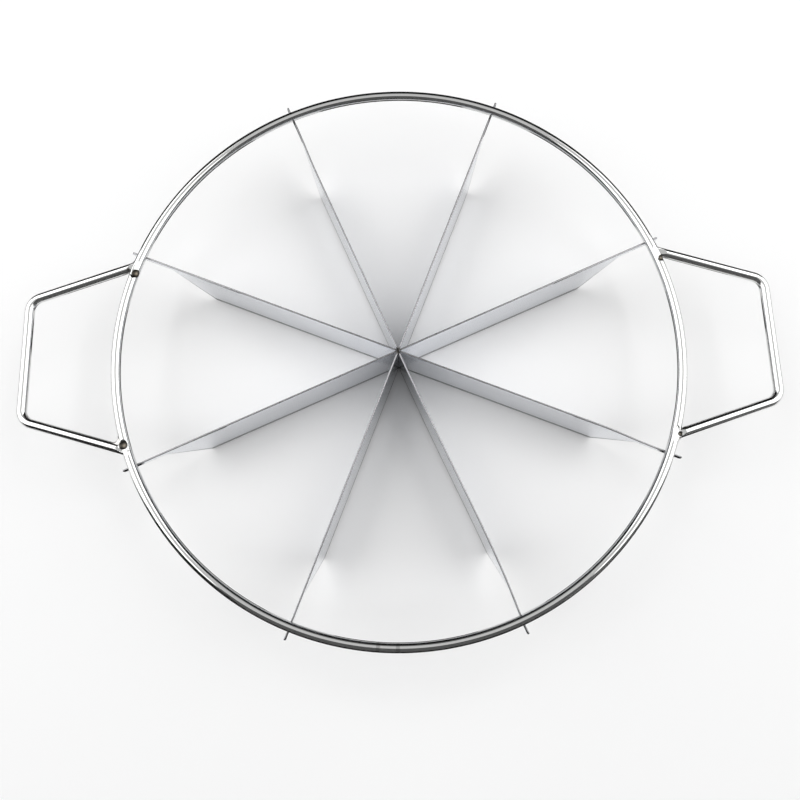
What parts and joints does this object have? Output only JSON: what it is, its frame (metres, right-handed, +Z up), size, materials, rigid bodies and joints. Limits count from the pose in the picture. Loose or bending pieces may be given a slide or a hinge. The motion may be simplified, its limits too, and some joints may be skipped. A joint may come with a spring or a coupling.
{
  "type": "cake portion marker",
  "caption": "Round cake portion marker of polished steel: thin blades cross at a hub under a wire ring and mark even wedges, with a bent-wire handle on each side.",
  "frame": {"origin": "middle of the blades' bottom edges, where the part stands, straight under the hub", "axes": "+Z up through the hub; +X towards the right handle; +Y away from the front of the picture"},
  "size_m": [0.3552, 0.27, 0.038],
  "materials": {
    "wire": "polished round stainless wire",
    "blade": "bright rolled stainless sheet with a faint grain along the strip",
    "weld": "pressed and slightly dulled stainless steel at the welded joints"
  },
  "bodies": {
    "root": {"wire_ring": "wire", "left_handle": "wire", "right_handle": "wire", "left_back_weld": "weld", "left_front_weld": "weld", "right_back_weld": "weld", "right_front_weld": "weld", "blade_strip_1": "blade", "blade_strip_2": "blade", "blade_strip_3": "blade", "blade_strip_4": "blade"}
  },
  "joints": []
}
